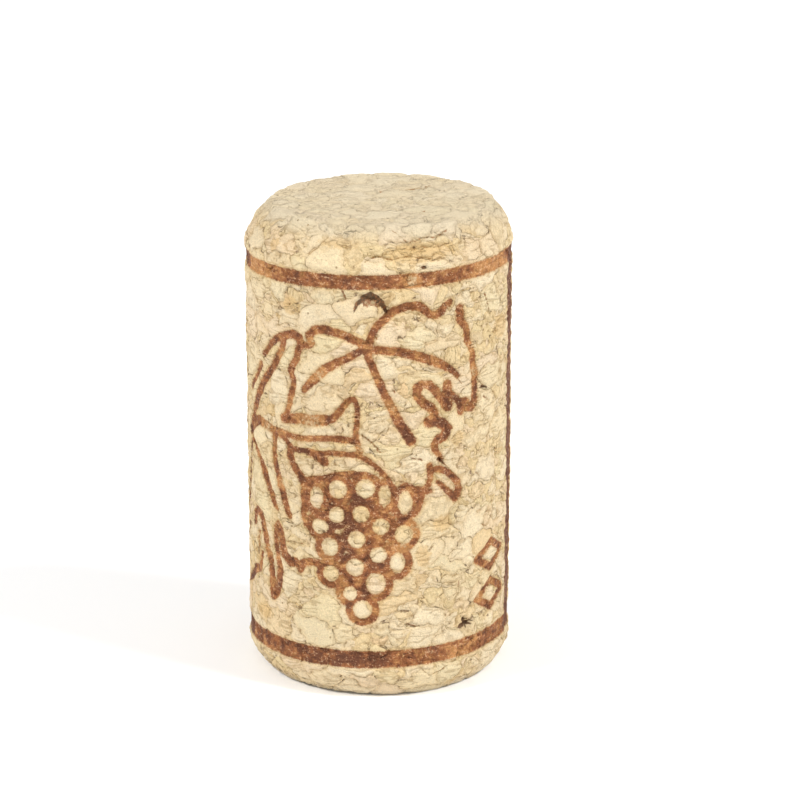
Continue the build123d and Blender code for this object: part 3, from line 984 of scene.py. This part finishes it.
def cork_material(sizes, colours):
    """Pale granules with thin broken seams, growth lines and pits, and the scorched drawing over them."""
    material = bpy.data.materials.new("cork")
    material.use_nodes = True
    material.node_tree.nodes.clear()
    tree = Tree(material.node_tree)
    cork = CorkPattern(tree, sizes.granule / MM)
    cloud = cork.cloud
    ink = {name: tuple(getattr(colours, name)) for name in CorkColours.__annotations__}

    # The granules and the lines on them
    colour, tanned = cork.granule_colour(ink)
    lines, waves, comb = cork.growth_lines(tanned)
    colour = tree.mix(lines * Cover.growth_lines + comb * Cover.comb, colour, ink["seam"])
    colour = colour * (1.0 + (cloud - 0.5) * Cover.cloud + (cork.grain - 0.5) * Cover.grain)
    grit = cloud.ramp(0.54, 0.68) * (cork.second * 3.7).fraction().ramp(0.4, 0.8)
    colour = tree.mix(grit * Cover.grit, colour, ink["seam"])

    # The seams between them
    seam, gap = cork.seams()
    colour = tree.mix(cork.edge.ramp(0.5, 0.0) * Cover.seam_edge, colour, ink["tan"])
    colour = tree.mix(seam * Cover.seam, colour, ink["seam"])
    # Gaps take the dark colour: painted shade in the crevices between granules, over their dark joints
    colour = tree.mix(gap * Cover.gap, colour, ink["dark"])

    # The bevel, and the end faces in the cap colour, which is darkened against the lamps above as painted
    # shade and greyed as painted sheen
    up = cork.place.part("Z")
    top = sizes.length / MM
    cap_from = top - 1.6
    colour = tree.mix(up.ramp(cap_from - 1.5, cap_from) * Cover.bevel, colour, ink["seam"])
    ends = up.ramp(cap_from, top) * Cover.top + up.ramp(0.6, 0.0) * Cover.base
    colour = tree.mix(ends, colour, ink["cap"])
    speck = cork.specks()
    colour = tree.mix(speck * Cover.speck, colour, ink["seam"])

    # The burnt drawing, and the cracks and pits over all
    burnt, scorch, singed = cork.burn(ink, lines)
    colour = tree.mix(burnt * Cover.burn, colour, scorch)
    colour = tree.mix(singed * Cover.singe, colour, ink["tan"])
    # Gaps and seams inside the burn are painted darker: partly charred joints, partly painted shade in the
    # crevices
    colour = tree.mix(burnt * (gap + seam * 0.3) * Cover.burnt_seam, colour, ink["dark"])
    crack, hollow = cork.cracks(ink)
    colour = tree.mix(crack, colour, hollow)
    # Pits are painted dark inside: partly their own brown, partly painted shade in the hole
    colour = tree.mix(pits(tree, cork.place, 0.09, 0.05) * Cover.pit, colour, ink["dark"])

    # Fine relief
    fine = cloud * 0.8 + cork.grain * 0.4 + cork.blotch * 0.8
    fine = fine - cork.edge.ramp(0.3, 0.0) * 0.4 - waves * 0.12
    fine = fine - seam * 0.2 - comb * 0.2 - gap * 0.3 - speck * 0.3 - burnt * 0.2
    relief = {"Strength": 1.0, "Distance": 0.25 * MM, "Height": fine}
    bump = tree.add("ShaderNodeBump", {}, relief, "Normal")
    finish = {
        "Base Color": colour,
        "Roughness": tree.mix(burnt, 0.75, 0.62),
        "Specular IOR Level": 0.16,
        "Normal": bump,
    }
    shader = tree.add("ShaderNodeBsdfPrincipled", {}, finish)
    tree.node("ShaderNodeOutputMaterial", {}, {"Surface": shader})
    return material


class CORK_OT_body(bpy.types.Operator):
    """Build the cork and let it stand for its CAD node"""

    bl_idname = "cork.body"
    bl_label = "Cork Body"

    def execute(self, context):
        sizes = context.scene.cork_sizes
        maker = bpy.data.objects.new("cork_maker", plain_body(sizes))
        context.collection.objects.link(maker)
        relief = maker.modifiers.new("Relief", "NODES")
        group = relief_group()
        relief.node_group = group
        settings = {
            "Granule": sizes.granule / MM,
            "Burn Depth": sizes.burn_depth / MM,
            "Swell": sizes.swell / MM,
            "Seam Depth": sizes.seam_depth / MM,
            "Material": cork_material(sizes, context.scene.cork_colours),
        }
        for item in group.interface.items_tree:
            if item.in_out == "INPUT" and item.name in settings:
                relief[item.identifier] = settings[item.name]
        made = maker.evaluated_get(context.evaluated_depsgraph_get())
        mesh = bpy.data.meshes.new_from_object(made)
        mesh.name = "cork_body"
        bpy.data.objects.remove(maker)
        cork = bpy.data.objects.new("cork_body", mesh)
        context.collection.objects.link(cork)
        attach(cork, "root")
        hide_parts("cork")
        return {"FINISHED"}


class CORK_OT_studio(bpy.types.Operator):
    """Build the floor, the lights and the camera"""

    bl_idname = "cork.studio"
    bl_label = "Studio"

    def add_floor(self, context, look):
        """A wide pale sheet, a hair under the base."""
        half = 3.0
        gap = 0.02 * MM
        mesh = bpy.data.meshes.new("floor")
        corners = [(-half, -half, 0), (half, -half, 0), (half, half, 0), (-half, half, 0)]
        mesh.from_pydata(corners, [], [(0, 1, 2, 3)])
        material = bpy.data.materials.new("floor")
        material.use_nodes = True
        shader = material.node_tree.nodes["Principled BSDF"]
        shader.inputs["Base Color"].default_value = (*look.floor, 1)
        shader.inputs["Roughness"].default_value = 0.9
        shader.inputs["Specular IOR Level"].default_value = 0.0
        mesh.materials.append(material)
        floor = bpy.data.objects.new("floor", mesh)
        floor.location.z = CORK_LOW[2] - gap
        context.collection.objects.link(floor)

    def add_world(self, context, look):
        """Soft light from all round, and plain white behind everything."""
        world = bpy.data.worlds.new("studio")
        world.use_nodes = True
        world.node_tree.nodes.clear()
        tree = Tree(world.node_tree)
        seen = tree.add("ShaderNodeLightPath", {}, {}, "Is Camera Ray")
        strength = tree.mix(seen, look.sky, 1.0)
        light = tree.add("ShaderNodeBackground", {}, {"Color": (1.0, 1.0, 1.0, 1.0), "Strength": strength})
        tree.node("ShaderNodeOutputWorld", {}, {"Surface": light})
        context.scene.world = world

    def add_lamp(self, context, name, place, power):
        """A round lamp that is turned to the middle of the cork."""
        data = bpy.data.lights.new(name, "AREA")
        data.shape = "DISK"
        data.size = context.scene.cork_studio.lamp_size
        data.energy = power
        lamp = bpy.data.objects.new(name, data)
        lamp.location = place
        middle = Vector((0, 0, context.scene.cork_sizes.length / 2))
        lamp.rotation_euler = (middle - Vector(place)).to_track_quat("-Z", "Y").to_euler()
        context.collection.objects.link(lamp)

    def add_camera(self, context, look):
        """The photograph's view of the cork."""
        camera = bpy.data.cameras.new("camera")
        camera.lens = look.lens
        camera.sensor_width = 36.0
        camera.clip_start = 0.01
        camera.clip_end = 20.0
        holder = bpy.data.objects.new("camera", camera)
        back = Vector((0, -math.cos(look.pitch), math.sin(look.pitch)))
        holder.location = Vector(look.target) + back * look.distance
        holder.rotation_euler = (math.pi / 2 - look.pitch, 0, 0)
        context.collection.objects.link(holder)
        context.scene.camera = holder

    def execute(self, context):
        look = context.scene.cork_studio
        self.add_floor(context, look)
        self.add_world(context, look)
        self.add_lamp(context, "key", look.key_place, look.key)
        self.add_lamp(context, "fill", look.fill_place, look.fill)
        self.add_camera(context, look)
        context.scene.view_settings.view_transform = "Standard"
        return {"FINISHED"}


class CORK_PT_panel(bpy.types.Panel):
    """Lists the steps and their settings"""

    bl_idname = "CORK_PT_panel"
    bl_label = "Cork"
    bl_space_type = "VIEW_3D"
    bl_region_type = "UI"
    bl_category = "Cork"

    def draw(self, context):
        layout = self.layout
        for name in ("cork_sizes", "cork_colours", "cork_studio"):
            box = layout.box()
            group = getattr(context.scene, name)
            for key in group.__annotations__:
                box.prop(group, key)
        layout.operator(CORK_OT_body.bl_idname)
        layout.operator(CORK_OT_studio.bl_idname)


CLASSES = (CorkSizes, CorkColours, StudioLook, CORK_OT_body, CORK_OT_studio, CORK_PT_panel)


def register():
    for cls in CLASSES:
        bpy.utils.register_class(cls)
    bpy.types.Scene.cork_sizes = PointerProperty(type=CorkSizes)
    bpy.types.Scene.cork_colours = PointerProperty(type=CorkColours)
    bpy.types.Scene.cork_studio = PointerProperty(type=StudioLook)


def unregister():
    for name in ("cork_studio", "cork_colours", "cork_sizes"):
        delattr(bpy.types.Scene, name)
    for cls in reversed(CLASSES):
        bpy.utils.unregister_class(cls)


def main():
    """Runs every step."""
    register()
    bpy.ops.cork.body()
    bpy.ops.cork.studio()


if __name__ == "__main__":
    main()
